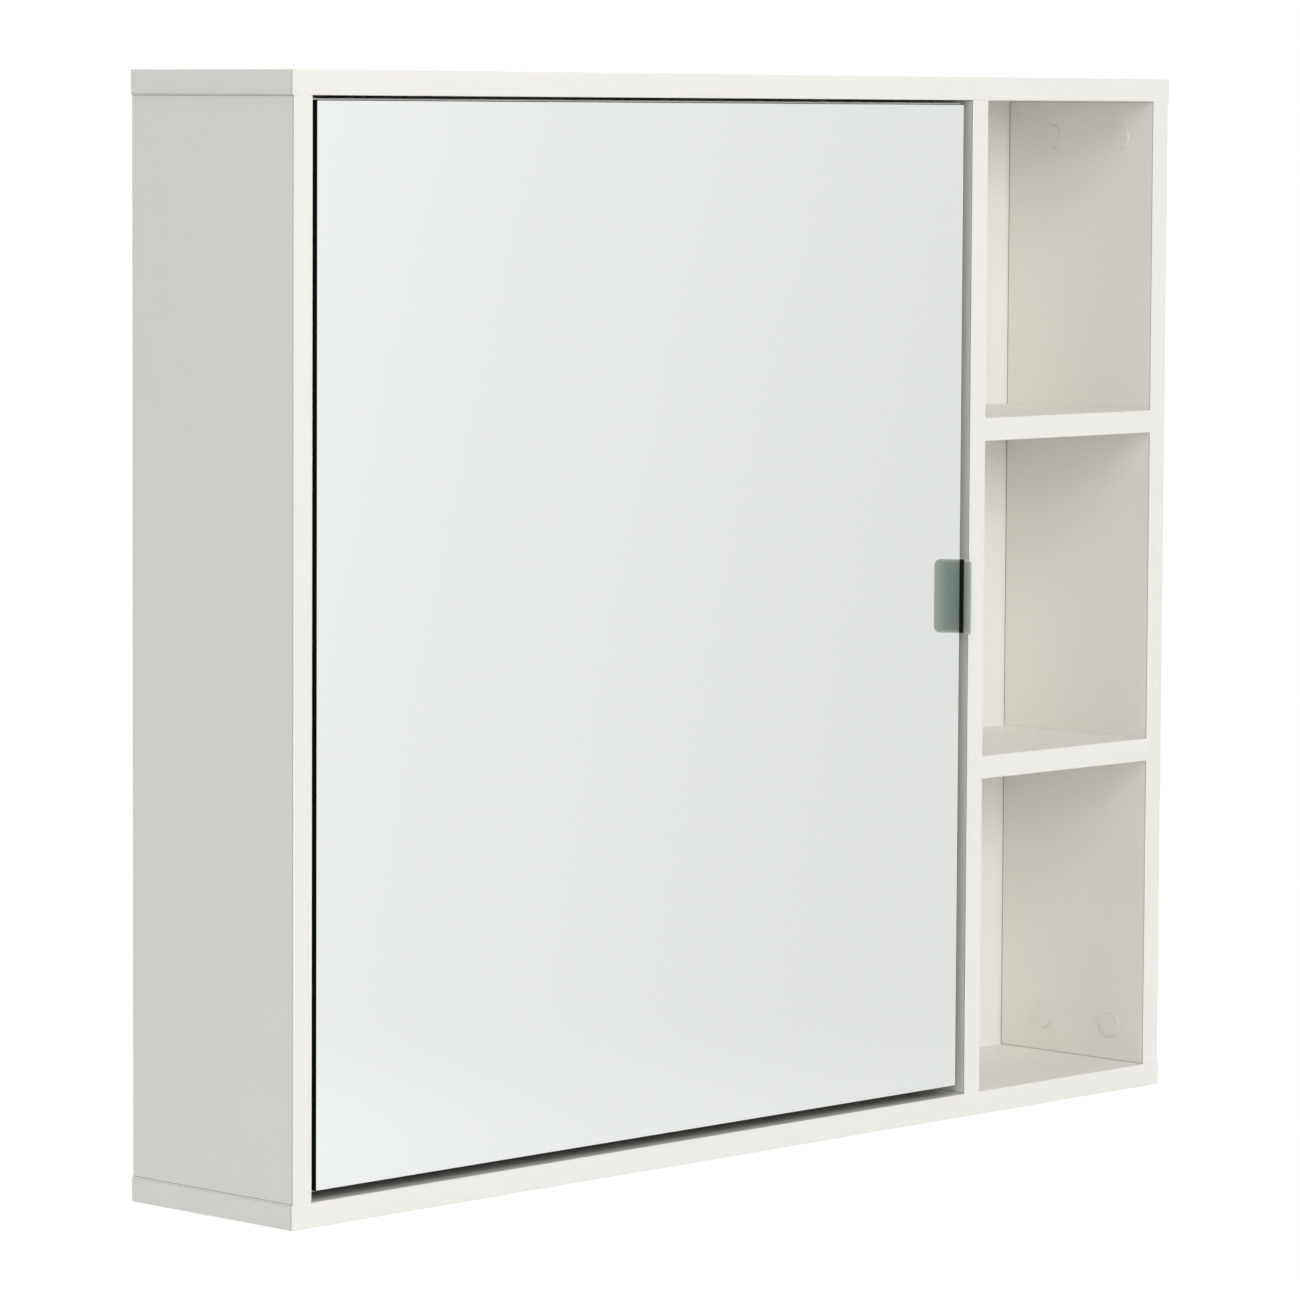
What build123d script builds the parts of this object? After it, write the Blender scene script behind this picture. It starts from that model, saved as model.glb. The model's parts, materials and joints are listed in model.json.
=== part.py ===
from build123d import *
from math import cos, hypot, radians, sin, tan
import os

# Bathroom mirror cabinet: one inset mirror door on the left, three open bays on the right.
# Millimetres, +X to the viewer's right, +Y into the wall, +Z up.
# The origin lies on the wall, midway between the two keyholes that hang the cabinet.

# Carcass
overall_width = 800.0
overall_height = 680.0
overall_depth = 142.0
board_thickness = 15.0
side_inset = 1.0
open_bay_width = 169.0
bay_count = 3
arris = 0.4

# Back panel, let into grooves
back_thickness = 3.0
back_recess = 12.0
groove_depth = 5.0
groove_clearance = 0.1
groove_end_clearance = 0.5

# Shelves behind the door
cabinet_shelf_thickness = 15.0
cabinet_shelf_front_setback = 36.0
cabinet_shelf_side_clearance = 0.5
shelf_pin_front_inset = 18.0
shelf_pin_radius = 2.5
shelf_pin_hole_clearance = 0.1
shelf_pin_hole_depth = 9.0
shelf_pin_reach = 8.0

# Knock-down fittings
cam_radius = 7.5
cam_depth = 12.0
cam_end_distance = 24.0
cam_front_inset = 30.0
cam_spacing = 60.0
cam_clearance = 0.1
cover_radius = 8.75
cover_thickness = 0.9
bolt_thread_radius = 2.5
bolt_thread_length = 11.0
bolt_head_radius = 3.2
bolt_head_length = 3.5
bolt_bore_radius = 3.7
bolt_clearance = 0.1
dowel_radius = 4.0
dowel_length = 30.0
dowel_panel_depth = 10.0
dowel_clearance = 0.1
dowel_end_clearance = 0.5
shelf_dowel_inset = 32.0

# Door: mirror glass glued on a board
door_board_thickness = 15.0
glass_thickness = 4.0
adhesive_thickness = 0.5
glass_setback = 1.9
door_gap_left = 3.5
door_gap_right = 5.2
door_gap_top = 1.7
door_gap_bottom = 5.0
glass_margin_left = 1.3
glass_margin_right = 1.8
glass_margin_top = 1.0
glass_margin_bottom = 1.0
adhesive_margin = 6.0

# Finger pull: a sheet fixed to the door's free edge, with a lip that leans over the mirror
tab_height = 48.0
tab_rise = 1.0
tab_thickness = 0.8
tab_leg_depth = 14.0
tab_bend_offset = 0.9
tab_bend_radius = 1.5
tab_lip_length = 18.0
tab_lip_tilt = 34.0
tab_corner_radius = 4.0
tab_tape_thickness = 1.0
tab_tape_margin = 2.0

# Concealed cup hinge
hinge_end_distance = 90.0
cup_radius = 17.5
cup_depth = 12.0
cup_wall = 1.0
cup_edge_distance = 5.0
cup_clearance = 0.1
cup_rim_thickness = 1.2
cup_rim_overhang = 1.2
cup_screw_offset = 6.0
cup_screw_half_spacing = 24.0
cup_ear_radius = 5.5
cheek_width = 11.0
cheek_height = 6.5
hinge_pin_radius = 1.1
hinge_pin_clearance = 0.05
hinge_pin_half_length = 12.0
hinge_pivot_inset = 14.0
eye_radius = 2.4
eye_floor_clearance = 0.3
arm_thickness = 2.0
arm_neck_width = 12.0
arm_channel_width = 17.0
arm_bend_radius = 2.0
arm_side_clearance = 0.3
arm_flange_thickness = 1.6
arm_flange_height = 5.0
arm_web_height = 12.0
arm_channel_length = 48.0
arm_slot_width = 5.0
arm_slot_length = 10.0
swing_clearance = 0.6
over_open_allowance = 0.9

# Hinge mounting plate
plate_setback = 37.0
plate_wing_thickness = 3.0
plate_wing_width = 15.0
plate_wing_length = 48.0
plate_corner_radius = 5.0
plate_screw_spacing = 32.0
plate_saddle_length = 34.0
clamp_screw_offset = 8.0
side_screw_offset = -9.0
arm_screw_length = 7.0

# Screws
screw_radius = 1.7
screw_head_radius = 3.2
screw_head_height = 1.6
countersunk_head_radius = 3.0
screw_clearance = 0.1
screw_recess_depth = 0.9
screw_recess_width = 0.9
screw_recess_span = 3.6
cup_screw_length = 11.0
plate_screw_length = 12.0
catch_screw_length = 12.0
strike_screw_length = 9.0
hanger_screw_length = 18.0

# Wall hangers
hanger_drop = 68.0
hanger_width = 11.0
hanger_length = 44.0
hanger_thickness = 1.5
hanger_clearance = 0.2
hanger_screw_inset = 5.0
keyhole_entry_radius = 4.25
keyhole_slot_radius = 2.25
keyhole_drop = 11.0
keyhole_pocket_depth = 8.0
keyhole_pocket_radius = 4.75

# Magnetic catch
catch_reach = 18.0
catch_depth = 20.0
catch_wall = 2.0
catch_base_thickness = 2.0
catch_base_height = 48.0
catch_screw_half_spacing = 19.5
catch_corner_radius = 2.0
catch_air_gap = 0.3
magnet_width = 10.0
magnet_height = 22.0
magnet_depth = 9.0
magnet_clearance = 0.1
strike_width = 11.0
strike_height = 40.0
strike_thickness = 1.2
strike_corner_radius = 2.5
strike_edge_inset = 0.8
strike_screw_half_spacing = 14.0

# Planes of the carcass
left_end = -overall_width / 2
right_end = overall_width / 2
top_z = hanger_drop
bottom_z = top_z - overall_height
front_y = -overall_depth
wall_y = 0.0
ceiling_z = top_z - board_thickness
floor_z = bottom_z + board_thickness
left_outer_x = left_end + side_inset
left_inner_x = left_outer_x + board_thickness
right_outer_x = right_end - side_inset
right_inner_x = right_outer_x - board_thickness
divider_right_x = right_inner_x - open_bay_width
divider_left_x = divider_right_x - board_thickness
back_rear_y = wall_y - back_recess
back_front_y = back_rear_y - back_thickness
inner_height = ceiling_z - floor_z

# Planes of the door
board_left_x = left_inner_x + door_gap_left
board_right_x = divider_left_x - door_gap_right
board_bottom_z = floor_z + door_gap_bottom
board_top_z = ceiling_z - door_gap_top
glass_front_y = front_y + glass_setback
glass_rear_y = glass_front_y + glass_thickness
board_front_y = glass_rear_y + adhesive_thickness
board_rear_y = board_front_y + door_board_thickness
glass_left_x = board_left_x + glass_margin_left
glass_right_x = board_right_x - glass_margin_right
glass_bottom_z = board_bottom_z + glass_margin_bottom
glass_top_z = board_top_z - glass_margin_top
door_middle_z = (board_bottom_z + board_top_z) / 2
tab_left_x = board_right_x + tab_tape_thickness
tab_rear_y = board_front_y + tab_leg_depth
tab_bend_y = glass_front_y - tab_bend_offset
tab_bottom_z = door_middle_z + tab_rise - tab_height / 2

# Hinge geometry: the pivot lies inside the cup, and the arm turns around the door's edge
cup_x = board_left_x + cup_edge_distance + cup_radius
cup_floor_y = board_rear_y - cup_depth
pivot_x = board_left_x + hinge_pivot_inset
pivot_y = cup_floor_y + cup_wall + eye_floor_clearance + eye_radius
rim_out = board_rear_y - pivot_y + cup_rim_thickness
neck_out = rim_out + over_open_allowance + swing_clearance + arm_thickness / 2
neck_back = hypot(hinge_pivot_inset, board_rear_y - pivot_y) + swing_clearance + arm_thickness / 2
plate_y = board_rear_y + plate_setback
arm_web_x = left_inner_x + arm_web_height
arm_web_inner_x = arm_web_x - arm_thickness / 2
arm_end_y = pivot_y + neck_back + arm_channel_length
hinge_levels = {
    "upper": board_top_z - hinge_end_distance,
    "lower": board_bottom_z + hinge_end_distance,
}

# Heights at which shelves sit
open_bay_height = (inner_height - (bay_count - 1) * board_thickness) / bay_count
open_shelf_bottoms = {
    "lower": floor_z + open_bay_height,
    "upper": floor_z + 2 * open_bay_height + board_thickness,
}
cabinet_bay_height = (inner_height - (bay_count - 1) * cabinet_shelf_thickness) / bay_count
cabinet_shelf_bottoms = {
    "lower": floor_z + cabinet_bay_height,
    "upper": floor_z + 2 * cabinet_bay_height + cabinet_shelf_thickness,
}
cabinet_shelf_front_y = front_y + cabinet_shelf_front_setback

# Rows along the depth for fittings
cam_rows = [front_y + cam_front_inset, front_y + cam_front_inset + cam_spacing]
carcass_dowel_y = front_y + cam_front_inset + cam_spacing / 2
shelf_dowel_rows = [front_y + shelf_dowel_inset, back_front_y - shelf_dowel_inset]
shelf_pin_rows = [cabinet_shelf_front_y + shelf_pin_front_inset, back_front_y - shelf_pin_front_inset]

# Catch on the divider, opposite the strike plate
strike_x = board_right_x - strike_edge_inset - strike_width / 2
strike_rear_y = board_rear_y + strike_thickness
catch_front_y = strike_rear_y + catch_air_gap
catch_screw_z = [door_middle_z + side * catch_screw_half_spacing for side in (-1, 1)]
catch_middle_y = catch_front_y + catch_depth / 2

# Keyhole plates on the rear edges of the two side panels
hanger_x = {
    "left": (left_outer_x + left_inner_x) / 2,
    "right": (right_outer_x + right_inner_x) / 2,
}
hanger_top_z = hanger_screw_inset * 2 + keyhole_slot_radius
hanger_bottom_z = hanger_top_z - hanger_length


def block(x_span, y_span, z_span):
    """A rectangular solid between two planes on each axis."""
    centre = [(low + high) / 2 for low, high in (x_span, y_span, z_span)]
    size = [abs(high - low) for low, high in (x_span, y_span, z_span)]
    return Pos(*centre) * Box(*size)


def board(x_span, y_span, z_span):
    """A faced board with its sharp edges taken off."""
    blank = block(x_span, y_span, z_span)
    return chamfer(blank.edges(), arris)


def rod(start, direction, radius, length):
    """A round rod, or the drill that makes its hole, from a point along a direction."""
    standing = (Align.CENTER, Align.CENTER, Align.MIN)
    return Plane(origin=start, z_dir=direction) * Cylinder(radius, length, align=standing)


def turned(start, direction, profile):
    """A solid of revolution from (radius, height) points, standing on a point along a direction."""
    outline = make_face(Plane.XZ * Polyline(*profile, close=True))
    return Plane(origin=start, z_dir=direction) * revolve(outline, Axis.Z)


def cross_recess(start, direction, depth, width, span):
    """The cross-shaped driver recess sunk into a head, against the way the screw goes in."""
    cross = Box(span, width, depth) + Box(width, span, depth)
    return Plane(origin=start, z_dir=direction) * Pos(0, 0, depth / 2) * cross


def pan_screw(seat, direction, length):
    """A pan-head screw that sits on the seat point and points along the direction."""
    head = screw_head_height
    profile = [
        (0, -head),
        (screw_head_radius - head / 2, -head),
        (screw_head_radius, 0),
        (screw_radius, 0),
        (screw_radius, length - 2 * screw_radius),
        (0, length),
    ]
    top = Vector(*seat) - Vector(*direction) * head
    recess = cross_recess(top, direction, screw_recess_depth, screw_recess_width, screw_recess_span)
    return turned(seat, direction, profile) - recess


def countersunk_profile(length, grow):
    """Half outline of a countersunk screw from its flush head, or of its seat when grown by a clearance."""
    flare = countersunk_head_radius - screw_radius
    return [
        (0, 0),
        (countersunk_head_radius + grow, 0),
        (screw_radius + grow, flare),
        (screw_radius + grow, length - screw_radius + grow),
        (0, length + grow),
    ]


def countersunk_screw(seat, direction, length):
    """A countersunk screw whose head is flush with the seat point."""
    recess = cross_recess(seat, direction, screw_recess_depth, screw_recess_width, screw_recess_span)
    return turned(seat, direction, countersunk_profile(length, 0)) - recess


def countersunk_seat(seat, direction, length):
    """The countersunk hole that takes a screw of this length."""
    return turned(seat, direction, countersunk_profile(length, screw_clearance))


def screw_hole(seat, direction, length):
    """The hole that takes a screw of this length."""
    return rod(seat, direction, screw_radius + screw_clearance, length + screw_clearance)


# Where each carcass fitting goes: every upright has cams near both ends
class Upright:
    """One upright board: its two faces and the face that its cams go into."""

    def __init__(self, low_x, high_x, cam_side):
        self.low_x = low_x
        self.high_x = high_x
        self.middle_x = (low_x + high_x) / 2
        self.cam_side = cam_side
        self.cam_face_x = high_x if cam_side > 0 else low_x


uprights = {
    "left": Upright(left_outer_x, left_inner_x, 1),
    "divider": Upright(divider_left_x, divider_right_x, -1),
    "right": Upright(right_inner_x, right_outer_x, -1),
}
ends = [(ceiling_z, 1), (floor_z, -1)]


def each_cam():
    """Yield the upright, depth row, end plane and end direction of every cam joint."""
    for upright in uprights.values():
        for row_y in cam_rows:
            for end_z, way in ends:
                yield upright, row_y, end_z, way


def cam_centre(upright, row_y, end_z, way):
    return (upright.cam_face_x, row_y, end_z - way * cam_end_distance)


def upright_bores(upright):
    """Bores for the cams, their bolts and the dowels in one upright."""
    inward = (-upright.cam_side, 0, 0)
    bores = []
    for row_y in cam_rows:
        for end_z, way in ends:
            centre = cam_centre(upright, row_y, end_z, way)
            bores.append(rod(centre, inward, cam_radius + cam_clearance, cam_depth + cam_clearance))
            start = (upright.middle_x, row_y, end_z)
            bores.append(rod(start, (0, 0, -way), bolt_bore_radius, cam_end_distance))
    for end_z, way in ends:
        depth = dowel_length - dowel_panel_depth + dowel_end_clearance
        start = (upright.middle_x, carcass_dowel_y, end_z)
        bores.append(rod(start, (0, 0, -way), dowel_radius + dowel_clearance, depth))
    return bores


def level_bores(end_z, way):
    """Bores in the top or bottom panel for the bolts' threads and the dowels."""
    bores = []
    for upright in uprights.values():
        for row_y in cam_rows:
            start = (upright.middle_x, row_y, end_z)
            depth = bolt_thread_length + bolt_clearance
            bores.append(rod(start, (0, 0, way), bolt_thread_radius + bolt_clearance, depth))
        start = (upright.middle_x, carcass_dowel_y, end_z)
        depth = dowel_panel_depth + dowel_end_clearance
        bores.append(rod(start, (0, 0, way), dowel_radius + dowel_clearance, depth))
    return bores


def back_groove(x_span, z_span):
    """The groove that holds one edge of the back panel."""
    return block(x_span, (back_front_y - groove_clearance, back_rear_y + groove_clearance), z_span)


def level_panel(end_z, way):
    """The top or the bottom panel, with the groove for the back panel."""
    outer_z = end_z + way * board_thickness
    panel = board((left_end, right_end), (front_y, wall_y), (min(end_z, outer_z), max(end_z, outer_z)))
    reach = end_z + way * groove_depth
    groove_x = (left_inner_x - groove_depth, right_inner_x + groove_depth)
    panel -= back_groove(groove_x, (min(end_z, reach), max(end_z, reach)))
    return panel - level_bores(end_z, way)


def side_panel(upright, inner_x):
    """One side panel, with its groove and the rebate and pocket of the wall hanger."""
    panel = board((upright.low_x, upright.high_x), (front_y, wall_y), (floor_z, ceiling_z))
    groove_end_x = inner_x - upright.cam_side * groove_depth
    panel -= back_groove((min(inner_x, groove_end_x), max(inner_x, groove_end_x)), (floor_z, ceiling_z))
    panel -= upright_bores(upright)
    rebate_x = hanger_width / 2 + hanger_clearance
    panel -= block(
        (upright.middle_x - rebate_x, upright.middle_x + rebate_x),
        (wall_y - hanger_thickness, wall_y),
        (hanger_bottom_z - hanger_clearance, hanger_top_z + hanger_clearance),
    )
    panel -= keyhole_pocket(upright.middle_x)
    for seat_z in hanger_screw_levels():
        panel -= countersunk_seat((upright.middle_x, wall_y, seat_z), (0, -1, 0), hanger_screw_length)
    return panel


def keyhole_pocket(middle_x):
    """The pocket behind the keyhole that gives the wall screw's head room to slide up."""
    slot = SlotCenterToCenter(keyhole_drop, 2 * keyhole_pocket_radius, rotation=90)
    face = Plane(origin=(middle_x, wall_y, -keyhole_drop / 2), x_dir=(1, 0, 0), z_dir=(0, -1, 0)) * slot
    return extrude(face, keyhole_pocket_depth)


def hanger_screw_levels():
    return [hanger_top_z - hanger_screw_inset, hanger_bottom_z + hanger_screw_inset]


def shelf_pin_holes(face_x, inward):
    """The holes in an upright's face for the pins under the shelves behind the door."""
    radius = shelf_pin_radius + shelf_pin_hole_clearance
    return [
        rod((face_x, row_y, bottom_z - shelf_pin_radius), (inward, 0, 0), radius, shelf_pin_hole_depth)
        for bottom_z in cabinet_shelf_bottoms.values()
        for row_y in shelf_pin_rows
    ]


def shelf_dowel_holes(face_x, inward):
    """Holes in an upright's face for the open shelves' dowels."""
    holes = []
    for bottom_z in open_shelf_bottoms.values():
        for row_y in shelf_dowel_rows:
            start = (face_x, row_y, bottom_z + board_thickness / 2)
            depth = dowel_panel_depth + dowel_end_clearance
            holes.append(rod(start, (inward, 0, 0), dowel_radius + dowel_clearance, depth))
    return holes


def hinge_plate_screw_seats(level_z):
    seat_x = left_inner_x + plate_wing_thickness
    return [(seat_x, plate_y, level_z + side * plate_screw_spacing / 2) for side in (-1, 1)]


def left_side_panel():
    panel = side_panel(uprights["left"], left_inner_x)
    panel -= shelf_pin_holes(left_inner_x, -1)
    for level_z in hinge_levels.values():
        seats = hinge_plate_screw_seats(level_z)
        panel -= [screw_hole(seat, (-1, 0, 0), plate_screw_length) for seat in seats]
    return panel


def right_side_panel():
    return side_panel(uprights["right"], right_inner_x) - shelf_dowel_holes(right_inner_x, 1)


def catch_screw_seats():
    return [(divider_left_x - catch_base_thickness, catch_middle_y, seat_z) for seat_z in catch_screw_z]


def divider_panel():
    panel = board((divider_left_x, divider_right_x), (front_y, back_front_y), (floor_z, ceiling_z))
    panel -= upright_bores(uprights["divider"])
    panel -= shelf_pin_holes(divider_left_x, 1)
    panel -= shelf_dowel_holes(divider_right_x, -1)
    return panel - [screw_hole(seat, (1, 0, 0), catch_screw_length) for seat in catch_screw_seats()]


def back_panel():
    """The thin back, held in grooves on all four sides."""
    reach = groove_depth - groove_end_clearance
    return block(
        (left_inner_x - reach, right_inner_x + reach),
        (back_front_y, back_rear_y),
        (floor_z - reach, ceiling_z + reach),
    )


def open_shelf(bottom_z):
    """A fixed shelf of the open bays, doweled into the divider and the right side."""
    shelf = board(
        (divider_right_x, right_inner_x),
        (front_y, back_front_y),
        (bottom_z, bottom_z + board_thickness),
    )
    for row_y in shelf_dowel_rows:
        for face_x, way in ((divider_right_x, 1), (right_inner_x, -1)):
            start = (face_x, row_y, bottom_z + board_thickness / 2)
            depth = dowel_length - dowel_panel_depth + dowel_end_clearance
            shelf -= rod(start, (way, 0, 0), dowel_radius + dowel_clearance, depth)
    return shelf


def cabinet_shelf(bottom_z):
    """A loose shelf behind the door, lying on four pins."""
    return board(
        (left_inner_x + cabinet_shelf_side_clearance, divider_left_x - cabinet_shelf_side_clearance),
        (cabinet_shelf_front_y, back_front_y),
        (bottom_z, bottom_z + cabinet_shelf_thickness),
    )


def shelf_pins():
    """Four pins under each shelf behind the door, pushed into the uprights."""
    pushed_in = shelf_pin_hole_depth - shelf_pin_hole_clearance
    pins = []
    for bottom_z in cabinet_shelf_bottoms.values():
        for row_y in shelf_pin_rows:
            for face_x, way in ((left_inner_x, -1), (divider_left_x, 1)):
                start = (face_x - way * shelf_pin_reach, row_y, bottom_z - shelf_pin_radius)
                pins.append(rod(start, (way, 0, 0), shelf_pin_radius, shelf_pin_reach + pushed_in))
    return pins


def dowel(start, direction):
    """A beech dowel, set across the joint's plane."""
    end = Vector(*start) - Vector(*direction) * dowel_panel_depth
    return rod(end, direction, dowel_radius, dowel_length)


def carcass_dowels():
    return [
        dowel((upright.middle_x, carcass_dowel_y, end_z), (0, 0, -way))
        for upright in uprights.values()
        for end_z, way in ends
    ]


def shelf_dowels():
    return [
        dowel((face_x, row_y, bottom_z + board_thickness / 2), (way, 0, 0))
        for bottom_z in open_shelf_bottoms.values()
        for row_y in shelf_dowel_rows
        for face_x, way in ((divider_right_x, 1), (right_inner_x, -1))
    ]


def cam_bolt(upright, row_y, end_z, way):
    """The bolt that the cam pulls: its thread goes into the panel and its head into the cam."""
    neck_end = cam_end_distance - bolt_head_length / 2
    profile = [
        (0, -bolt_thread_length),
        (bolt_thread_radius, -bolt_thread_length),
        (bolt_thread_radius, neck_end),
        (bolt_head_radius, neck_end),
        (bolt_head_radius, neck_end + bolt_head_length),
        (0, neck_end + bolt_head_length),
    ]
    return turned((upright.middle_x, row_y, end_z), (0, 0, -way), profile)


def cam_lock(upright, row_y, end_z, way):
    """A cam housing with the throat that swallows the bolt's head."""
    face = cam_centre(upright, row_y, end_z, way)
    cam = rod(face, (-upright.cam_side, 0, 0), cam_radius, cam_depth)
    throat = bolt_head_radius + bolt_clearance
    throat_end_z = end_z - way * (cam_end_distance + bolt_head_length)
    return cam - block(
        (upright.middle_x - throat, upright.middle_x + throat),
        (row_y - throat, row_y + throat),
        (end_z, throat_end_z),
    )


def cam_cover(upright, row_y, end_z, way):
    """A thin cap with a bevelled rim that covers the cam."""
    edge = cover_thickness / 2
    profile = [
        (0, 0),
        (cover_radius, 0),
        (cover_radius - edge, cover_thickness),
        (0, cover_thickness),
    ]
    return turned(cam_centre(upright, row_y, end_z, way), (upright.cam_side, 0, 0), profile)


def door_board():
    """The door's board with cup pockets and pilot holes on its rear face."""
    panel = board((board_left_x, board_right_x), (board_front_y, board_rear_y), (board_bottom_z, board_top_z))
    for level_z in hinge_levels.values():
        mouth = (cup_x, board_rear_y, level_z)
        panel -= rod(mouth, (0, -1, 0), cup_radius + cup_clearance, cup_depth + cup_clearance)
        panel -= [screw_hole(seat, (0, -1, 0), cup_screw_length) for seat in cup_screw_seats(level_z)]
    return panel - [countersunk_seat(seat, (0, -1, 0), strike_screw_length) for seat in strike_screw_seats()]


def mirror_adhesive():
    """The sheet of mirror tape between the glass and the board."""
    return block(
        (glass_left_x + adhesive_margin, glass_right_x - adhesive_margin),
        (glass_rear_y, board_front_y),
        (glass_bottom_z + adhesive_margin, glass_top_z - adhesive_margin),
    )


def mirror_glass():
    """The mirror with its ground edges."""
    return board((glass_left_x, glass_right_x), (glass_front_y, glass_rear_y), (glass_bottom_z, glass_top_z))


def tab_pull():
    """The finger pull: a leg beside the door's edge and a lip with rounded corners."""
    tilt = radians(tab_lip_tilt)
    along = (-sin(tilt), -cos(tilt))
    across = (cos(tilt), -sin(tilt))
    tip = (tab_left_x + along[0] * tab_lip_length, tab_bend_y + along[1] * tab_lip_length)
    outline = [
        (tab_left_x, tab_rear_y),
        (tab_left_x, tab_bend_y),
        tip,
        (tip[0] + across[0] * tab_thickness, tip[1] + across[1] * tab_thickness),
        (tab_left_x + tab_thickness, tab_bend_y - tab_thickness * tan(tilt / 2)),
        (tab_left_x + tab_thickness, tab_rear_y),
    ]
    bends = [0, tab_bend_radius, 0, 0, tab_bend_radius + tab_thickness, 0]
    section = make_face(Pos(0, 0, tab_bottom_z) * FilletPolyline(*outline, radius=bends, close=True))
    sheet = extrude(section, tab_height, dir=(0, 0, 1))
    return fillet(sheet.edges().group_by(Axis.Y)[1], tab_corner_radius)


def tab_tape():
    """The foam pad that fixes the pull's leg to the board's edge."""
    return block(
        (board_right_x, tab_left_x),
        (board_front_y + tab_tape_margin, tab_rear_y - tab_tape_margin),
        (tab_bottom_z + tab_tape_margin, tab_bottom_z + tab_height - tab_tape_margin),
    )


def cup_screw_seats(level_z):
    seat_y = board_rear_y + cup_rim_thickness
    return [(cup_x + cup_screw_offset, seat_y, level_z + side * cup_screw_half_spacing) for side in (-1, 1)]


def hinge_pin(level_z):
    start = (pivot_x, pivot_y, level_z - hinge_pin_half_length)
    return rod(start, (0, 0, 1), hinge_pin_radius, 2 * hinge_pin_half_length)


def pin_bore(level_z, half_length):
    start = (pivot_x, pivot_y, level_z - half_length)
    return rod(start, (0, 0, 1), hinge_pin_radius + hinge_pin_clearance, 2 * half_length)


def hinge_cup(level_z):
    """The pressed cup: thin round wall, winged rim and two cheeks that carry the pin."""
    cup = rod((cup_x, board_rear_y, level_z), (0, -1, 0), cup_radius, cup_depth)
    rim_plane = Plane(origin=(cup_x, board_rear_y, level_z), x_dir=(1, 0, 0), z_dir=(0, 1, 0))
    ears = [
        Pos(cup_screw_offset, side * cup_screw_half_spacing) * Circle(cup_ear_radius) for side in (-1, 1)
    ]
    wings = make_hull([edge for ear in ears for edge in ear.edges()])
    rim = Circle(cup_radius + cup_rim_overhang) + wings
    cup += extrude(rim_plane * rim, cup_rim_thickness)
    hollow_radius = cup_radius - cup_wall
    hollow_height = cup_depth - cup_wall + cup_rim_thickness
    cup -= rod((cup_x, board_rear_y + cup_rim_thickness, level_z), (0, -1, 0), hollow_radius, hollow_height)
    cup += cheeks(level_z, hollow_radius + cup_wall / 2)
    cup -= pin_bore(level_z, hinge_pin_half_length + hinge_pin_clearance)
    return cup - [screw_hole(seat, (0, -1, 0), cup_screw_length) for seat in cup_screw_seats(level_z)]


def cheeks(level_z, reach):
    """Two cheeks inside the cup, one each side of the arm's eye."""
    inner = arm_neck_width / 2 + arm_side_clearance
    floor_y = cup_floor_y + cup_wall / 2
    blank = rod((cup_x, floor_y, level_z), (0, 1, 0), reach, cheek_height)
    keep = block(
        (pivot_x - cheek_width / 2, pivot_x + cheek_width / 2),
        (floor_y, floor_y + cheek_height),
        (level_z - reach, level_z + reach),
    )
    gap = block(
        (pivot_x - cheek_width, pivot_x + cheek_width),
        (floor_y, floor_y + cheek_height),
        (level_z - inner, level_z + inner),
    )
    return (blank & keep) - gap


def hinge_arm(level_z):
    """The gooseneck: a rolled eye, a hook around the door's edge and a channel over the plate."""
    half = arm_thickness / 2
    neck_x = pivot_x + neck_out
    turn_y = pivot_y + neck_back
    outline = [
        (pivot_x, pivot_y - half),
        (neck_x + half, pivot_y - half),
        (neck_x + half, turn_y + half),
        (arm_web_x + half, turn_y + half),
        (arm_web_x + half, arm_end_y),
        (arm_web_x - half, arm_end_y),
        (arm_web_x - half, turn_y - half),
        (neck_x - half, turn_y - half),
        (neck_x - half, pivot_y + half),
        (pivot_x, pivot_y + half),
    ]
    outside = arm_bend_radius + arm_thickness
    inside = arm_bend_radius
    bends = [0, outside, outside, inside, 0, 0, outside, inside, inside, 0]
    strip = make_face(FilletPolyline(*outline, radius=bends, close=True))
    strip += Pos(pivot_x, pivot_y) * Circle(eye_radius)
    arm = extrude(Pos(0, 0, level_z - arm_channel_width / 2) * strip, arm_channel_width)
    arm = arm & arm_width_envelope(level_z)
    for side in (-1, 1):
        outer_z = level_z + side * arm_channel_width / 2
        inner_z = outer_z - side * arm_flange_thickness
        flange_z = (min(inner_z, outer_z), max(inner_z, outer_z))
        flange = block(
            (arm_web_x - arm_flange_height - half, arm_web_x + half),
            (turn_y + outside, arm_end_y),
            flange_z,
        )
        arm += flange
    arm -= pin_bore(level_z, arm_channel_width)
    slot = SlotOverall(arm_slot_length, arm_slot_width, rotation=0)
    slot_middle = (arm_web_x - half, plate_y + clamp_screw_offset, level_z)
    arm -= extrude(Plane(origin=slot_middle, x_dir=(0, 1, 0), z_dir=(1, 0, 0)) * slot, arm_thickness)
    side_hole = (arm_web_x - half, plate_y + side_screw_offset, level_z)
    return arm - rod(side_hole, (1, 0, 0), screw_radius + screw_clearance, arm_thickness)


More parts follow.
